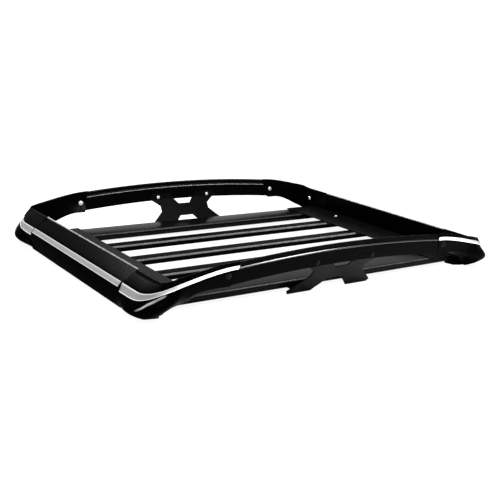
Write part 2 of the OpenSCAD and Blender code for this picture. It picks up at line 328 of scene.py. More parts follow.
def painted(name, dark, light, rough, shine, peel=0.12, peel_scale=900.0, metallic=0.0, painted_highlight=None):
    """A coat between two colours, two roughnesses and, with a mask, a painted highlight."""
    material = bpy.data.materials.new(name)
    nodes, links = nodes_of(material)
    shader = nodes.new("ShaderNodeBsdfPrincipled")
    if isinstance(shine, tuple):
        by_height = spread(nodes, links, object_place(nodes, links)["Z"], *shine)
        links.new(by_height, shader.inputs["Specular IOR Level"])
    else:
        shader.inputs["Specular IOR Level"].default_value = shine
    shader.inputs["Metallic"].default_value = metallic
    patches = link_noise(nodes, links, *PATCHES)
    speck = link_noise(nodes, links, *SPECKS)
    colour = blend_colour(nodes, links, spread(nodes, links, patches, 0, 1), dark, light)
    dusty = tuple(min(1.0, c * DUST_GAIN + DUST_LIFT) for c in light)
    colour = blend_colour(
        nodes, links, spread(nodes, links, speck, 0, 0.5, 0.52, 0.72), colour, dusty
    )
    # With a mask, a painted highlight is blended into the colour.
    if painted_highlight:
        mask = painted_highlight(nodes, links)
        broken = spread(nodes, links, link_noise(nodes, links, *HIGHLIGHT_BREAKUP), 0.55, 1.0)
        colour = blend_colour(nodes, links, times(nodes, links, mask, broken), colour, PAINTED_HIGHLIGHT)
    links.new(colour, shader.inputs["Base Color"])
    links.new(spread(nodes, links, speck, *rough), shader.inputs["Roughness"])
    bump = nodes.new("ShaderNodeBump")
    bump.inputs["Strength"].default_value = peel
    bump.inputs["Distance"].default_value = PEEL_DEPTH
    links.new(link_noise(nodes, links, peel_scale, 2.0), bump.inputs["Height"])
    links.new(bump.outputs[0], shader.inputs["Normal"])
    out = nodes.new("ShaderNodeOutputMaterial")
    links.new(shader.outputs[0], out.inputs["Surface"])
    return material


def black(value):
    return value, value, value


hoop_paint = painted(
    "hoop_paint", black(0.0003), black(0.0009), (0.24, 0.36), 0.006, painted_highlight=groove_mask
)
plate_paint = painted(
    "plate_paint", (0.0006, 0.0006, 0.0007), (0.0014, 0.0014, 0.0015), (0.32, 0.48), 0.015
)
end_paint = painted(
    "end_paint", black(0.0001), black(0.0004), (0.24, 0.34),
    (0.0004, 0.004, 0.070, 0.088), 0.06, painted_highlight=rim_mask
)
slat_paint = painted(
    "slat_paint", black(0.0002), black(0.0006), (0.16, 0.24), 0.003, painted_highlight=edge_mask
)
rail_paint = painted(
    "rail_paint", black(0.0004), black(0.0012), (0.16, 0.26), 0.022, painted_highlight=soft_edge_mask
)
bead_paint = painted("bead_paint", black(0.0004), black(0.0012), (0.18, 0.26), 0.25, 0.05)
moulded = painted(
    "moulded", black(0.0002), black(0.0006), (0.18, 0.26),
    (0.0008, 0.006, 0.035, 0.105), 0.06, painted_highlight=crease_mask
)
zinc = painted(
    "zinc", (0.55, 0.56, 0.57), (0.72, 0.73, 0.74), (0.22, 0.36), 0.5, 0.1, 1400.0, 1.0
)
print("finishes", [m.name for m in bpy.data.materials])

# %% [markdown]
# The hoops, plates, ledges and end fairings are shown as the CAD built them,
# because their sheet has crisp folds. They only change their paint.

# %% Paint the CAD's own pieces


def dress(names, material):
    print(material.name, "on", names)
    for name in names:
        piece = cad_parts[name]
        piece.data.materials.clear()
        piece.data.materials.append(material)


dress(["near_hoop_rail", "far_hoop_rail"], hoop_paint)
dress(["near_brace_plate", "far_brace_plate", "left_ledge", "right_ledge"], plate_paint)
dress(["left_end_rail", "right_end_rail"], end_paint)

# %% [markdown]
# ## The floor's bars
# The slats and the two wide rails are flattened tubes of one section that
# repeat across the floor. A repeat is a job for Geometry Nodes: one tree
# sweeps a rounded outline along a line and sets copies side by side, and its
# named inputs serve both kinds of bar.

# %% Geometry helpers
FLOAT = "NodeSocketFloat"


def new_tree(name, sockets):
    """A Geometry Nodes tree with named inputs, its source and its sink."""
    tree = bpy.data.node_groups.new(name, "GeometryNodeTree")
    tree.interface.new_socket("Geometry", in_out="OUTPUT", socket_type="NodeSocketGeometry")
    for label, kind in sockets:
        tree.interface.new_socket(label, in_out="INPUT", socket_type=kind)
    source = tree.nodes.new("NodeGroupInput")
    sink = tree.nodes.new("NodeGroupOutput")
    return tree, source, sink


def math_node(tree, operation, a, b):
    """One sum; a and b are values or other nodes' outputs."""
    node = tree.nodes.new("ShaderNodeMath")
    node.operation = operation
    for socket, value in zip(node.inputs, (a, b)):
        if isinstance(value, (int, float)):
            socket.default_value = value
        else:
            tree.links.new(value, socket)
    return node.outputs[0]


def straight_line(tree, half_length):
    """A line along X through the middle."""
    line = tree.nodes.new("GeometryNodeCurvePrimitiveLine")
    for socket, reach in (
        ("Start", math_node(tree, "MULTIPLY", half_length, -1)), ("End", half_length)
    ):
        point = tree.nodes.new("ShaderNodeCombineXYZ")
        tree.links.new(reach, point.inputs["X"])
        tree.links.new(point.outputs[0], line.inputs[socket])
    return line.outputs[0]


def swept(tree, path, outline):
    """Carries an outline along a path and caps both ends."""
    sweep = tree.nodes.new("GeometryNodeCurveToMesh")
    sweep.inputs["Fill Caps"].default_value = True
    tree.links.new(path, sweep.inputs["Curve"])
    tree.links.new(outline, sweep.inputs["Profile Curve"])
    return sweep.outputs[0]


def realized(tree, geometry):
    """Turns copies into plain geometry."""
    solid = tree.nodes.new("GeometryNodeRealizeInstances")
    tree.links.new(geometry, solid.inputs[0])
    return solid.outputs[0]


def coated(tree, geometry, material, sink):
    """Gives the geometry its material and ends the tree in it."""
    coat = tree.nodes.new("GeometryNodeSetMaterial")
    tree.links.new(geometry, coat.inputs["Geometry"])
    tree.links.new(material, coat.inputs["Material"])
    tree.links.new(coat.outputs[0], sink.inputs[0])
    print(tree.name, len(tree.nodes), "nodes")


# %% [markdown]
# The tree also stores how much each face leans between sideways and up. That value is highest on
# the rounded long edges, and the paint puts a painted highlight there.

# %% Bar tree
bar_tree, source, sink = new_tree("bars_side_by_side", [
    ("Half length", FLOAT), ("Width", FLOAT), ("Height", FLOAT), ("Edge radius", FLOAT),
    ("Count", "NodeSocketInt"), ("Pitch", FLOAT), ("Middle height", FLOAT),
    ("Paint", "NodeSocketMaterial"),
])
add, join = bar_tree.nodes.new, bar_tree.links.new
outline = add("GeometryNodeCurvePrimitiveQuadrilateral")
join(source.outputs["Width"], outline.inputs["Width"])
join(source.outputs["Height"], outline.inputs["Height"])
fillet = add("GeometryNodeFilletCurve")
fillet.mode = "POLY"
fillet.inputs["Count"].default_value = 7
join(outline.outputs[0], fillet.inputs["Curve"])
join(source.outputs["Edge radius"], fillet.inputs["Radius"])
line = straight_line(bar_tree, source.outputs["Half length"])
bar = swept(bar_tree, line, fillet.outputs[0])
row = add("GeometryNodeMeshLine")
join(source.outputs["Count"], row.inputs["Count"])
first, step = add("ShaderNodeCombineXYZ"), add("ShaderNodeCombineXYZ")
gaps = math_node(bar_tree, "SUBTRACT", source.outputs["Count"], 1)
span = math_node(bar_tree, "MULTIPLY", gaps, source.outputs["Pitch"])
join(math_node(bar_tree, "MULTIPLY", span, -0.5), first.inputs["Y"])
join(source.outputs["Middle height"], first.inputs["Z"])
join(source.outputs["Pitch"], step.inputs["Y"])
join(first.outputs[0], row.inputs["Start Location"])
join(step.outputs[0], row.inputs["Offset"])
copies = add("GeometryNodeInstanceOnPoints")
join(row.outputs[0], copies.inputs["Points"])
join(bar, copies.inputs["Instance"])
facing, parts = add("GeometryNodeInputNormal"), add("ShaderNodeSeparateXYZ")
join(facing.outputs[0], parts.inputs[0])
sideways = add("ShaderNodeMath")
sideways.operation = "ABSOLUTE"
join(parts.outputs["Y"], sideways.inputs[0])
slant = math_node(bar_tree, "MULTIPLY", sideways.outputs[0], parts.outputs["Z"])
edge_store = add("GeometryNodeStoreNamedAttribute")
edge_store.data_type = "FLOAT"
edge_store.inputs["Name"].default_value = "edge"
join(realized(bar_tree, copies.outputs[0]), edge_store.inputs["Geometry"])
join(math_node(bar_tree, "MULTIPLY", slant, 2), edge_store.inputs["Value"])
coated(bar_tree, edge_store.outputs[0], source.outputs["Paint"], sink)

# %% [markdown]
# A tree's result only lives while it is evaluated. The helper below runs it
# once on an empty mesh and keeps what comes out as a plain mesh.

# %% Run a tree
BAR_SHARP, SHELL_SHARP, STRIP_SHARP = 35.0, 38.0, 40.0


def shade(mesh, sharp):
    """Smooth faces, with every edge steeper than the angle kept sharp."""
    mesh.shade_smooth()
    mesh.set_sharp_from_angle(angle=math.radians(sharp))


def grow(name, tree, values):
    """Evaluates a tree once and keeps the result as a plain mesh."""
    seed = bpy.data.objects.new(name + "_seed", bpy.data.meshes.new(name + "_seed"))
    scene.collection.objects.link(seed)
    modifier = seed.modifiers.new("tree", "NODES")
    modifier.node_group = tree
    for item in tree.interface.items_tree:
        if item.item_type == "SOCKET" and item.in_out == "INPUT" and item.name in values:
            modifier[item.identifier] = values[item.name]
    evaluated = seed.evaluated_get(bpy.context.evaluated_depsgraph_get())
    mesh = bpy.data.meshes.new_from_object(evaluated)
    mesh.name = name
    bpy.data.objects.remove(seed)
    shade(mesh, BAR_SHARP)
    piece = bpy.data.objects.new(name, mesh)
    scene.collection.objects.link(piece)
    return piece


def size_text(piece):
    """A piece's length, width and height in mm."""
    corners = [Vector(c) for c in piece.bound_box]
    spans = [[c[i] for c in corners] for i in range(3)]
    return [round((max(span) - min(span)) / MM, 1) for span in spans]


# %% [markdown]
# The sizes come from the CAD pieces' own boxes, so the bars that replace them
# fill exactly the same room.

# %% Floor bars
SLAT_ROUND, RAIL_ROUND = 0.0112, 0.0078

slat_low, slat_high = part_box("middle_slat")
rail_low, rail_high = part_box("far_floor_rail")
pitch = (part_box("far_slat")[0].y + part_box("far_slat")[1].y) / 2
rail_pitch = rail_low.y + rail_high.y
shared = {
    "Half length": slat_high.x, "Height": slat_high.z - slat_low.z,
    "Middle height": (slat_high.z + slat_low.z) / 2,
}
slats = grow("floor_slats", bar_tree, {
    **shared, "Width": slat_high.y - slat_low.y, "Count": 3, "Pitch": pitch,
    "Edge radius": SLAT_ROUND, "Paint": slat_paint,
})
rails = grow("floor_rails", bar_tree, {
    **shared, "Width": rail_high.y - rail_low.y, "Count": 2, "Pitch": rail_pitch,
    "Edge radius": RAIL_ROUND, "Paint": rail_paint,
})
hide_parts("near_slat", "middle_slat", "far_slat")
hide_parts("near_floor_rail", "far_floor_rail")
for piece in (slats, rails):
    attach(piece, "root")
    print(piece.name, "mm", size_text(piece), len(piece.data.polygons), "faces")

# %% [markdown]
# ## The hoops' beads
# A pressed bead stiffens each hoop and draws its bright line in the light. It
# follows the arch, so one tree bends a straight line into that arch by rule
# and sweeps a small ridge along it. The ridge's broad upper facet mirrors
# the lamp. The sweep turns an outline half round, so outward and upward
# amounts are written below zero.

# %% Bead tree
RIDGE = ((0.5, -1.5), (-1.05, 0.2), (-0.85, 0.75), (0.5, 1.0))
RIDGE_ROUND = 0.0009

bead_tree, source, sink = new_tree("bead_on_arch", [
    ("Half length", FLOAT), ("Arch radius", FLOAT), ("Top height", FLOAT), ("Outward", FLOAT),
    ("Bead radius", FLOAT), ("Side", FLOAT), ("Paint", "NodeSocketMaterial"),
])
add, join = bead_tree.nodes.new, bead_tree.links.new
line = straight_line(bead_tree, source.outputs["Half length"])
fine = add("GeometryNodeResampleCurve")
fine.inputs["Count"].default_value = 121
join(line, fine.inputs["Curve"])
where, apart = add("GeometryNodeInputPosition"), add("ShaderNodeSeparateXYZ")
join(where.outputs[0], apart.inputs[0])
square = math_node(bead_tree, "POWER", apart.outputs["X"], 2)
twice = math_node(bead_tree, "MULTIPLY", source.outputs["Arch radius"], 2)
fall = math_node(bead_tree, "DIVIDE", square, twice)
moved = add("ShaderNodeCombineXYZ")
join(source.outputs["Outward"], moved.inputs["Y"])
join(math_node(bead_tree, "SUBTRACT", source.outputs["Top height"], fall), moved.inputs["Z"])
bend = add("GeometryNodeSetPosition")
join(fine.outputs[0], bend.inputs["Geometry"])
join(moved.outputs[0], bend.inputs["Offset"])
ridge = add("GeometryNodeCurvePrimitiveQuadrilateral")
ridge.mode = "POINTS"
for number, (out_by, up_by) in enumerate(RIDGE, 1):
    spot = add("ShaderNodeCombineXYZ")
    sized = math_node(bead_tree, "MULTIPLY", source.outputs["Bead radius"], out_by)
    join(math_node(bead_tree, "MULTIPLY", source.outputs["Side"], sized), spot.inputs["X"])
    join(math_node(bead_tree, "MULTIPLY", source.outputs["Bead radius"], up_by), spot.inputs["Y"])
    join(spot.outputs[0], ridge.inputs[f"Point {number}"])
round_edge = add("GeometryNodeFilletCurve")
round_edge.mode = "POLY"
round_edge.inputs["Count"].default_value = 4
round_edge.inputs["Radius"].default_value = RIDGE_ROUND
join(ridge.outputs[0], round_edge.inputs["Curve"])
bead = swept(bead_tree, bend.outputs[0], round_edge.outputs[0])
coated(bead_tree, realized(bead_tree, bead), source.outputs["Paint"], sink)

# %% [markdown]
# The hoops lean outward as they rise, so how far out their face lies depends
# on the height. One small rule says it, for the beads here and the bolts later.

# %% Beads
LEAN = math.tan(math.radians(10))
BEAD_HALF, BEAD_R = 398.0, 4.0
SIDES = {"near": -1, "far": 1}


def strap_y(z):
    """How far out, in mm, the face of a hoop's sheet is at height z."""
    return SIDE_Y - SHEET_T - (HOOP_TOP - z) * LEAN


bead_y = strap_y(HOOP_TOP - BEAD_DROP)
for side, sy in SIDES.items():
    piece = grow(f"{side}_bead", bead_tree, {
        "Half length": BEAD_HALF * MM, "Arch radius": ARCH_R * MM, "Bead radius": BEAD_R * MM,
        "Top height": (HOOP_TOP - BEAD_DROP) * MM, "Outward": sy * bead_y * MM,
        "Side": float(sy), "Paint": bead_paint,
    })
    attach(piece, "root")
    reach = [round(c / MM, 1) for c in (piece.bound_box[0][1], piece.bound_box[2][1])]
    print(piece.name, "y", reach, "top", round(piece.bound_box[1][2] / MM, 1))

# %% [markdown]
# ## The corner mouldings
# A corner turns the end fairing's tall box into the hoop's thin strap while it
# goes round a bend. A modeller lofts such a form: many sections across one
# path, each a blend of the two shapes. The sizes are the CAD's own, and the
# sections are closer together, so the gloss runs on without facets. The path
# starts at the hoop's seam, and q is the distance along it.

# %% Corner rules
END_X, CORNER_R, STRAP_H = 676.0, 90.0, 66.0
RIM_X, RIM_Z, STRIPE_Z, END_Z = 613.0, 109.5, 77.8, 5.0
END_HALF = 322.0
SEAM_X, SEAM_SLANT, CORNER_T = 394.0, 20.0, 7.0
ARC_X, ARC_Y = END_X - CORNER_R, SIDE_Y - CORNER_R
END_RUN, ARC_RUN, HOOP_RUN = ARC_Y - END_HALF, CORNER_R * math.pi / 2, ARC_X - SEAM_X
PATH_RUN = END_RUN + ARC_RUN + HOOP_RUN
INNER_Y, INNER_TURN = SIDE_Y - 19, 65.0
BAND_DROP, BAND_H = 10.0, (12.0, 26.0)
FOLD_IN, EDGE_IN, END_WIDTH = 15.0, 3.0, END_X - RIM_X
FOOT_TUCK, BELLY = 36.0, 22.0


def mix_of(a, b, t):
    return a + (b - a) * t


def clamp(t):
    return min(1.0, max(0.0, t))


def smooth(t):
    """An even change from 0 to 1 that starts and ends gently."""
    t = clamp(t)
    return t * t * (3 - 2 * t)


def turned(q):
    """How far the bend is turned towards the side, in degrees."""
    return 90 * clamp((HOOP_RUN + ARC_RUN - q) / ARC_RUN)


def out_dir(q):
    a = math.radians(turned(q))
    return math.cos(a), math.sin(a)


def outer_plan(q):
    ux, uy = out_dir(q)
    return (
        ARC_X + CORNER_R * ux - max(0, HOOP_RUN - q),
        ARC_Y + CORNER_R * uy - max(0, q - HOOP_RUN - ARC_RUN),
    )


def inner_plan(q):
    a = turned(q)
    ox, oy = outer_plan(q)
    if a == 0:
        return RIM_X, oy
    if a < INNER_TURN:
        return RIM_X, mix_of(ARC_Y, INNER_Y, a / INNER_TURN)
    if a < 90:
        return mix_of(RIM_X, ARC_X, (a - INNER_TURN) / (90 - INNER_TURN)), INNER_Y
    return ox, mix_of(SIDE_Y - CORNER_T, INNER_Y, q / HOOP_RUN)


def foot_plan(q):
    nx, ny = inner_plan(q)
    return nx, min(ny, INNER_Y - FOOT_TUCK * smooth((q - 140) / 80))


SEAM_TOP = HOOP_TOP - SEAM_X ** 2 / (2 * ARCH_R) + 1
SEAM_LOW = HOOP_TOP - STRAP_H - (SEAM_X + SEAM_SLANT) ** 2 / (2 * ARCH_R) - 3


def top_z(q):
    return mix_of(SEAM_TOP, RIM_Z, smooth(q / 300))


def outer_low(q):
    return mix_of(SEAM_LOW, END_Z, smooth(q / 318) ** 2.6)


def inner_low(q):
    return mix_of(SEAM_LOW, END_Z, smooth((q - 50) / 225))


def band_top(q):
    return top_z(q) - mix_of(BAND_DROP, RIM_Z - STRIPE_Z, smooth((q - 180) / 150))


def band_low(q):
    return band_top(q) - mix_of(*BAND_H, smooth((q - 220) / 150))


def hoop_share(q):
    return 1 - smooth((q - 100) / 180)


def bulge(q):
    return smooth((q - 150) / 110) * (1 - 0.6 * smooth((q - 340) / 75))


def leaning(q, plan, z):
    """Leans a point outward with the hoop, and slants the seam."""
    fall = top_z(q) - z
    slant = fall * SEAM_SLANT / STRAP_H * (1 - smooth(q / 60))
    return plan[0] + slant, plan[1] - fall * LEAN * hoop_share(q), z


def section_point(q, f, z, puff=0.0):
    """A point at share f from the outer to the inner line, pushed out by puff."""
    (ox, oy), (nx, ny), (ux, uy) = outer_plan(q), inner_plan(q), out_dir(q)
    return leaning(q, (ox + (nx - ox) * f + ux * puff, oy + (ny - oy) * f + uy * puff), z)


def band_f(q):
    return mix_of(0.1, FOLD_IN / END_WIDTH, 1 - hoop_share(q))


def foot_f(q):
    return mix_of(0.02, EDGE_IN / END_WIDTH, 1 - hoop_share(q))


def rim_f(q):
    return mix_of(0.35, 0.06, 1 - hoop_share(q))


print("corner path", round(PATH_RUN, 1), "mm, seam at", round(SEAM_TOP, 1), round(SEAM_LOW, 1))

# %% [markdown]
# Small things make a moulding look moulded. The rim is a soft round, not a
# knife edge. A fine groove runs above the stripe, so that the bright strip
# looks let in. Below it a crease fans out across the belly, given as places
# along the path and down the body. All three are extra points in the section.

# %% Corner section
CREASE = ((225, 0.07), (246, 0.10), (261, 0.15), (276, 0.20), (288, 0.31), (306, 0.43))
CREASE_RISE, CREASE_WIDTH = 0.9, 0.05
BODY_ROWS, UNDER_ROWS = 40, (0.25, 0.5, 0.75)


def crease(q, v):
    """How near a place on the body is to the crease under the stripe, 0 to 1."""
    if not CREASE[0][0] < q < CREASE[-1][0]:
        return 0.0
    line = CREASE[0][1]
    for (q0, v0), (q1, v1) in zip(CREASE, CREASE[1:]):
        if q0 <= q <= q1:
            line = mix_of(v0, v1, (q - q0) / (q1 - q0))
    share = (q - CREASE[0][0]) / (CREASE[-1][0] - CREASE[0][0])
    fade = math.sin(math.pi * share) ** 0.6
    return fade * math.exp(-((v - line) / CREASE_WIDTH) ** 2)


def section(q):
    """One closed outline: up the inner wall, over the top and down the body."""
    t, b, foot = top_z(q), inner_low(q), outer_low(q)
    rim, band = 1 - rim_f(q), band_f(q)
    points = [leaning(q, foot_plan(q), b)]
    wall_foot = mix_of(b, t, 0.4)
    points += [section_point(q, 1, mix_of(wall_foot, t - 5, k / 4)) for k in range(5)]
    points += [
        section_point(q, 1, t - 1.6),
        section_point(q, mix_of(1, rim, 0.45), t - 0.3),
        section_point(q, rim, t + 0.1),
        section_point(q, mix_of(rim, band, 0.08), t - 0.6),
    ]
    for k in range(1, 7):
        v = k / 7
        points.append(section_point(q, mix_of(rim, band, v), mix_of(t, band_top(q), v ** 1.03)))
    points += [
        section_point(q, mix_of(rim, band, 0.95), mix_of(t, band_top(q), 0.95)),
        section_point(q, mix_of(rim, band, 0.975), mix_of(t, band_top(q), 0.975) - 1.0),
        section_point(q, band, band_top(q)),
    ]
    for k in range(BODY_ROWS + 1):
        v = k / BODY_ROWS
        puff = BELLY * bulge(q) * math.sin(math.pi * v ** 1.2) + CREASE_RISE * crease(q, v)
        f = foot_f(q) + 0.2 * v ** 3
        points.append(section_point(q, f, mix_of(band_low(q), foot, v), puff))
    edge = [o + (n - o) * (foot_f(q) + 0.2) for o, n in zip(outer_plan(q), inner_plan(q))]
    for v in UNDER_ROWS:
        plan = [mix_of(e, f, v) for e, f in zip(edge, foot_plan(q))]
        points.append(leaning(q, plan, mix_of(foot, b, v * 1.1)))
    return points


def ring_runs(ends, arcs, hoops):
    """Distances along the path: so many on the end, on the arc and on the hoop."""
    runs = [PATH_RUN - END_RUN * k / ends for k in range(ends)]
    runs += [HOOP_RUN + ARC_RUN * (1 - k / arcs) for k in range(arcs)]
    return runs + [HOOP_RUN * (1 - k / hoops) for k in range(hoops + 1)]


print("corner section", len(section(0)), "points")

# %% [markdown]
# The skin joins each ring to the next and closes both ends. Its unwrapping is
# simple: u runs along the path and v round the ring. A mirrored copy is inside
# out at first, so the sign of its volume decides whether the faces are turned.

# %% Loft


def skin(name, rings, sx, sy, sharp):
    """A closed loft through rings of equal length, mirrored by the signs."""
    n, last = len(rings[0]), len(rings) - 1
    points = [(sx * x * MM, sy * y * MM, z * MM) for ring in rings for x, y, z in ring]
    faces, places = [], []
    for i in range(last):
        for j in range(n):
            k = (j + 1) % n
            faces.append((i * n + j, i * n + n + j, i * n + n + k, i * n + k))
            u0, u1, v0, v1 = i / last, (i + 1) / last, j / n, (j + 1) / n
            places.append(((u0, v0), (u1, v0), (u1, v1), (u0, v1)))
    faces.append(tuple(range(n)))
    faces.append(tuple(last * n + j for j in reversed(range(n))))
    places += [((0.0, 0.0),) * n, ((1.0, 0.0),) * n]
    mesh = bpy.data.meshes.new(name)
    mesh.from_pydata(points, [], faces)
    layer = mesh.uv_layers.new(name="UVMap")
    loops = [pair for place in places for pair in place]
    layer.data.foreach_set("uv", [c for pair in loops for c in pair])
    if sx * sy < 0:
        mesh.flip_normals()
    tool = bmesh.new()
    tool.from_mesh(mesh)
    bmesh.ops.triangulate(tool, faces=[f for f in tool.faces if len(f.verts) > 4])
    if tool.calc_volume(signed=True) < 0:
        bmesh.ops.reverse_faces(tool, faces=tool.faces[:])
    tool.to_mesh(mesh)
    tool.free()
    shade(mesh, sharp)
    piece = bpy.data.objects.new(name, mesh)
    scene.collection.objects.link(piece)
    return piece


# %% [markdown]
# A real corner also has a bolt hole through its leaning strap and a pad that
# reaches in under the floor rail's end. The hole is cut and the pad is joined
# on, so both have true edges for the light.

# %% Hole and pad
BOLT_X, BOLT_Z, BOLT_R, BORE_DEPTH = 428.0, 112.0, 7.0, 0.05
SLOPE = math.atan(LEAN)
PAD = [(638, 364), (589, 364), (575, 379), (583, 411), (609, 423), (638, 423)]
PAD_LOW, PAD_T, PAD_BEVEL = 0.002, 0.006, 0.0012


def bore(piece, sx, sy):
    """Cuts the bolt's hole across the leaning strap, as a real edge."""
    tool_mesh = bpy.data.meshes.new("bore")
    tool = bmesh.new()
    bmesh.ops.create_cone(
        tool, cap_ends=True, segments=48, radius1=BOLT_R * MM, radius2=BOLT_R * MM,
        depth=BORE_DEPTH
    )
    tool.to_mesh(tool_mesh)
    tool.free()
    cutter = bpy.data.objects.new("bore", tool_mesh)
    scene.collection.objects.link(cutter)
    axis = Vector((0, sy * math.cos(SLOPE), -math.sin(SLOPE)))
    cutter.rotation_euler = axis.to_track_quat("Z", "X").to_euler()
    cutter.location = (sx * BOLT_X * MM, sy * strap_y(BOLT_Z) * MM, BOLT_Z * MM)
    bpy.context.view_layer.update()
    modifier = piece.modifiers.new("bore", "BOOLEAN")
    modifier.operation, modifier.solver, modifier.object = "DIFFERENCE", "EXACT", cutter
    cut = bpy.data.meshes.new_from_object(
        piece.evaluated_get(bpy.context.evaluated_depsgraph_get())
    )
    piece.modifiers.clear()
    old = piece.data
    piece.data = cut
    cut.name = old.name + "_cut"
    bpy.data.objects.remove(cutter)
    shade(cut, SHELL_SHARP)


def add_pad(piece, sx, sy):
    """Joins the thick pad that reaches in under the floor rail's end."""
    tool = bmesh.new()
    low = [tool.verts.new((sx * x * MM, sy * y * MM, PAD_LOW)) for x, y in PAD]
    face = tool.faces.new(low)
    raised = bmesh.ops.extrude_face_region(tool, geom=[face])["geom"]
    top = [v for v in raised if isinstance(v, bmesh.types.BMVert)]
    bmesh.ops.translate(tool, vec=(0, 0, PAD_T), verts=top)
    bmesh.ops.bevel(
        tool, geom=tool.edges[:], offset=PAD_BEVEL, segments=2, profile=0.5, affect="EDGES"
    )
    bmesh.ops.recalc_face_normals(tool, faces=tool.faces[:])
    tool.from_mesh(piece.data)
    tool.to_mesh(piece.data)
    tool.free()
    shade(piece.data, SHELL_SHARP)


# %% [markdown]
# The four corners are one shape, mirrored. The crease's strength, which places a painted highlight
# along the crease, is stored beside the unwrapping before the hole is cut, while each point's
# number still tells its ring and its row.

# %% Corners
ENDS = {"left": -1, "right": 1}
runs = ring_runs(10, 44, 34)
rings = [section(q) for q in runs]
body_start = len(rings[0]) - (BODY_ROWS + 1) - len(UNDER_ROWS)


def add_marks(mesh):
    """Stores the crease beside the unwrapping, corner by corner of each face."""
    layer = mesh.uv_layers.new(name="marks")
    count = len(rings[0])
    for loop, spot in zip(mesh.loops, layer.data):
        ring, j = divmod(loop.vertex_index, count)
        v = (j - body_start) / BODY_ROWS
        spot.uv = (crease(runs[ring], v) if 0 <= v <= 1 else 0.0, 0.0)


for side, sy in SIDES.items():
    for end, sx in ENDS.items():
        node = f"{side}_{end}_corner"
        piece = skin(node + "_shell", rings, sx, sy, SHELL_SHARP)
        add_marks(piece.data)
        bore(piece, sx, sy)
        add_pad(piece, sx, sy)
        piece.data.materials.clear()
        piece.data.materials.append(moulded)
        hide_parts(node)
        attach(piece, "root")
        print(piece.name, "mm", size_text(piece), len(piece.data.polygons), "faces")

# %% [markdown]
# ## The bright stripes
# The strips are thin aluminium with polished borders and a matt, finely
# stippled middle. The unwrapped strip carries that split by itself: across it
# the UV runs from edge to edge, so the shader needs no picture.

# %% Stripe finish
STIPPLE, BORDER = (700.0, 4.0), (0.36, 0.41)
BORDER_ROUGH, BORDER_TONE = 0.16, (0.84, 0.85, 0.86)


def stripe_material(name, dark, painted_sheen_gain):
    """Strip metal; the last value says how far its middle brightens along the strip, a painted
    reflection.
    """
    material = bpy.data.materials.new(name)
    nodes, links = nodes_of(material)
    shader = nodes.new("ShaderNodeBsdfPrincipled")
    shader.inputs["Metallic"].default_value = 1.0
    uv = nodes.new("ShaderNodeUVMap")
    uv.uv_map = "UVMap"
    split = nodes.new("ShaderNodeSeparateXYZ")
    links.new(uv.outputs[0], split.inputs[0])
    centred = nodes.new("ShaderNodeMath")
    centred.operation = "SUBTRACT"
    centred.inputs[1].default_value = 0.5
    links.new(split.outputs["Y"], centred.inputs[0])
    away = nodes.new("ShaderNodeMath")
    away.operation = "ABSOLUTE"
    links.new(centred.outputs[0], away.inputs[0])
    border = spread(nodes, links, away.outputs[0], 0, 1, *BORDER)
    stipple = link_noise(nodes, links, *STIPPLE)
    grain = spread(nodes, links, stipple, 0, 1)
    dull = blend_colour(nodes, links, grain, dark, tuple(c * 1.5 for c in dark))
    bright = blend_colour(nodes, links, grain, (0.66, 0.67, 0.68), (0.86, 0.87, 0.88))
    # Along the corner strips the middle brightens towards the hoop: a painted reflection.
    along = spread(nodes, links, split.outputs["X"], 0, painted_sheen_gain, 0.35, 0.85)
    tone = blend_colour(nodes, links, along, dull, bright)
    colour = blend_colour(nodes, links, border, tone, BORDER_TONE)
    links.new(colour, shader.inputs["Base Color"])
    rough = nodes.new("ShaderNodeMix")
    links.new(border, rough.inputs["Factor"])
    links.new(spread(nodes, links, stipple, 0.38, 0.55), rough.inputs[2])
    rough.inputs[3].default_value = BORDER_ROUGH
    links.new(rough.outputs[0], shader.inputs["Roughness"])
    bump = nodes.new("ShaderNodeBump")
    bump.inputs["Strength"].default_value = 0.15
    bump.inputs["Distance"].default_value = 0.0003
    links.new(stipple, bump.inputs["Height"])
    links.new(bump.outputs[0], shader.inputs["Normal"])
    out = nodes.new("ShaderNodeOutputMaterial")
    links.new(shader.outputs[0], out.inputs["Surface"])
    return material


# The corner strips take the painted reflection along them, the end strips none.
corner_metal = stripe_material("corner_strip", (0.20, 0.203, 0.206), 1.0)
end_metal = stripe_material("end_strip", (0.21, 0.213, 0.217), 0.0)
print("strip finishes", corner_metal.name, end_metal.name)

# %% [markdown]
# A strip is a thin loft of its own. Each section spans the two edges of its
# seat and is slightly crowned, as drawn aluminium is.

# %% Strip helpers
STRIP_STEPS, STRIP_MARGIN, CROWN = 8, 0.06, 0.35


def strip_ring(low, top, out, thick=1.6, lift=0.45):
    """A thin crowned section between two edge points."""
    front, rear = [], []
    for k in range(STRIP_STEPS + 1):
        v = STRIP_MARGIN + (1 - 2 * STRIP_MARGIN) * k / STRIP_STEPS
        crown = thick + CROWN * math.sin(math.pi * k / STRIP_STEPS)
        foot = [mix_of(a, b, v) for a, b in zip(top, low)]
        front.append(tuple(p + n * crown for p, n in zip(foot, out)))
        rear.append(tuple(p + n * lift for p, n in zip(foot, out)))
    return front + rear[::-1]


def strip_uv(mesh):
    """Across the strip, v runs from edge to edge on the front and the rear."""
    across = STRIP_STEPS + 1
    n = 2 * across
    layer = mesh.uv_layers["UVMap"]
    rows = len(mesh.vertices) // n
    for loop, spot in zip(mesh.loops, layer.data):
        j = loop.vertex_index % n
        v = j / (across - 1) if j < across else (n - 1 - j) / (across - 1)
        spot.uv = (loop.vertex_index // n / (rows - 1), v)


def strip(name, rings, sx, sy, metal, nodes_replaced):
    piece = skin(name, rings, sx, sy, STRIP_SHARP)
    strip_uv(piece.data)
    piece.data.materials.append(metal)
    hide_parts(*nodes_replaced)
    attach(piece, "root")
    print(piece.name, "mm", size_text(piece))


# %% [markdown]
# The corner strips follow the same rules as the corners' seats. The end strips
# lie on the fairing's fold, square to the short face below it.

# %% Strips
END_STEPS, END_STRIP_HALF = 24, END_HALF - 8

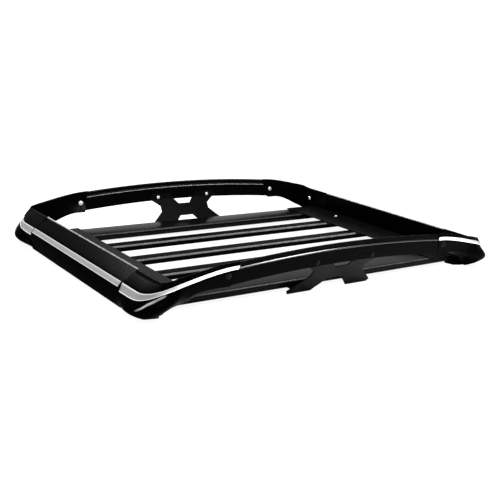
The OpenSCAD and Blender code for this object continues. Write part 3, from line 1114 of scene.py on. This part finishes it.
corner_rings = []
for q in ring_runs(8, 36, 30):
    low = section_point(q, foot_f(q), band_low(q))
    top = section_point(q, band_f(q), band_top(q))
    corner_rings.append(strip_ring(low, top, (*out_dir(q), 0.0)))
for side, sy in SIDES.items():
    for end, sx in ENDS.items():
        strip(f"{side}_{end}_strip", corner_rings, sx, sy, corner_metal, [f"{side}_{end}_stripe"])

fold = Vector((END_X - FOLD_IN, 0, STRIPE_Z))
edge = Vector((END_X - EDGE_IN, 0, STRIPE_Z - 15))
normal = Vector((fold.z - edge.z, 0, edge.x - fold.x)).normalized()
end_rings = []
for k in range(END_STEPS + 1):
    y = mix_of(END_STRIP_HALF, -END_STRIP_HALF, k / END_STEPS)
    a, b = fold.copy(), edge.copy()
    a.y = b.y = y
    end_rings.append(strip_ring(tuple(b), tuple(a), tuple(normal), 1.5, 0.1))
for end, sx in ENDS.items():
    strip(f"{end}_strip", end_rings, sx, 1, end_metal, [f"{end}_end_stripe"])

# %% [markdown]
# ## Screws and bolts
# Screws hold the ledges to the bars and the fairings to the corners, and bolts
# hold the hoops to the corners and to the brace plates. Small fasteners
# repeat, so one tree makes the head, with its hex socket, and sets it on a
# grid of four points, aimed along, across or up from the middle.

# %% Screw tree
screw_tree, source, sink = new_tree("screws_on_grid", [
    ("Head radius", FLOAT), ("Half length", FLOAT), ("Half width", FLOAT), ("Height", FLOAT),
    ("Aim inward", FLOAT), ("Aim outward", FLOAT), ("Aim up", FLOAT),
    ("Metal", "NodeSocketMaterial"),
])
add, join = screw_tree.nodes.new, screw_tree.links.new


def product(a, b):
    return math_node(screw_tree, "MULTIPLY", a, b)


radius = source.outputs["Head radius"]
washer = add("GeometryNodeMeshCylinder")
washer.inputs["Vertices"].default_value = 40
join(radius, washer.inputs["Radius"])
join(product(radius, 0.3), washer.inputs["Depth"])
dome = add("GeometryNodeMeshUVSphere")
dome.inputs["Segments"].default_value = 40
dome.inputs["Rings"].default_value = 20
join(product(radius, 0.72), dome.inputs["Radius"])
flat = add("GeometryNodeTransform")
flat.inputs["Scale"].default_value = (1, 1, 0.6)
join(dome.outputs[0], flat.inputs[0])
socket = add("GeometryNodeMeshCylinder")
socket.inputs["Vertices"].default_value = 6
join(product(radius, 0.34), socket.inputs["Radius"])
join(radius, socket.inputs["Depth"])
raised = add("GeometryNodeTransform")
lift = add("ShaderNodeCombineXYZ")
join(product(radius, 0.7), lift.inputs["Z"])
join(socket.outputs[0], raised.inputs[0])
join(lift.outputs[0], raised.inputs["Translation"])
cut = add("GeometryNodeMeshBoolean")
cut.operation = "DIFFERENCE"
join(flat.outputs[0], cut.inputs["Mesh 1"])
join(raised.outputs[0], cut.inputs["Mesh 2"])
whole = add("GeometryNodeJoinGeometry")
join(washer.outputs[0], whole.inputs[0])
join(cut.outputs[0], whole.inputs[0])
grid = add("GeometryNodeMeshGrid")
grid.inputs["Vertices X"].default_value = 2
grid.inputs["Vertices Y"].default_value = 2
join(product(source.outputs["Half length"], 2), grid.inputs["Size X"])
join(product(source.outputs["Half width"], 2), grid.inputs["Size Y"])
place = add("GeometryNodeSetPosition")
rise = add("ShaderNodeCombineXYZ")
join(source.outputs["Height"], rise.inputs["Z"])
join(grid.outputs[0], place.inputs["Geometry"])
join(rise.outputs[0], place.inputs["Offset"])
where = add("GeometryNodeInputPosition")
apart = add("ShaderNodeSeparateXYZ")
join(where.outputs[0], apart.inputs[0])
inner = product(source.outputs["Aim inward"], -1)
choose = add("ShaderNodeCombineXYZ")
for axis, amount in (("X", inner), ("Y", source.outputs["Aim outward"])):
    sign = math_node(screw_tree, "SIGN", apart.outputs[axis], 0)
    join(product(sign, amount), choose.inputs[axis])
join(source.outputs["Aim up"], choose.inputs["Z"])
aim = add("FunctionNodeAlignRotationToVector")
aim.axis = "Z"
join(choose.outputs[0], aim.inputs["Vector"])
copies = add("GeometryNodeInstanceOnPoints")
join(place.outputs[0], copies.inputs["Points"])
join(whole.outputs[0], copies.inputs["Instance"])
join(aim.outputs[0], copies.inputs["Rotation"])
coated(screw_tree, realized(screw_tree, copies.outputs[0]), source.outputs["Metal"], sink)

# %% [markdown]
# Each row below is one set of four: head radius, distances from the middle
# along x and y, height, direction and metal, with the lengths in mm. On the
# hoops the heads sit on the leaning outer face, and the nuts sit inside, square
# to the sheet.

# %% Screws and bolts
BRACE_BOLT_X = 110.0
UPWARD, INWARD = (0, 0, 1), (1, 0, 0)
OFF_STRAP = (0, math.cos(SLOPE), -math.sin(SLOPE))
INTO_STRAP = (0, -math.cos(SLOPE), math.sin(SLOPE))

ledge_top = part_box("right_ledge")[1].z / MM
bolt_y = strap_y(BOLT_Z)
black_bolt = painted(
    "black_bolt", (0.0010, 0.0010, 0.0011), (0.0022, 0.0022, 0.0024), (0.3, 0.45), 0.03
)
rows = {
    "ledge_screws": (7, 573, 206, ledge_top + 0.6, UPWARD, zinc),
    "end_bolts": (9, RIM_X - 0.5, 428, 68, INWARD, zinc),
    "corner_bolt_heads": (9.5, BOLT_X, bolt_y + 4.6, BOLT_Z, OFF_STRAP, black_bolt),
    "corner_nuts": (8, BOLT_X, bolt_y - 5.0, BOLT_Z, INTO_STRAP, zinc),
    "brace_bolt_heads": (8, BRACE_BOLT_X, bolt_y + 0.6, BOLT_Z, OFF_STRAP, black_bolt),
    "brace_nuts": (6, BRACE_BOLT_X, bolt_y - 8.0, BOLT_Z, INTO_STRAP, zinc),
}
for name, (radius, half_x, half_y, at_height, aim_at, metal) in rows.items():
    piece = grow(name, screw_tree, {
        "Head radius": radius * MM, "Half length": half_x * MM, "Half width": half_y * MM,
        "Height": at_height * MM, "Aim inward": float(aim_at[0]), "Aim outward": float(aim_at[1]),
        "Aim up": float(aim_at[2]), "Metal": metal,
    })
    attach(piece, "root")
    print(piece.name, "mm", size_text(piece), len(piece.data.polygons), "faces")
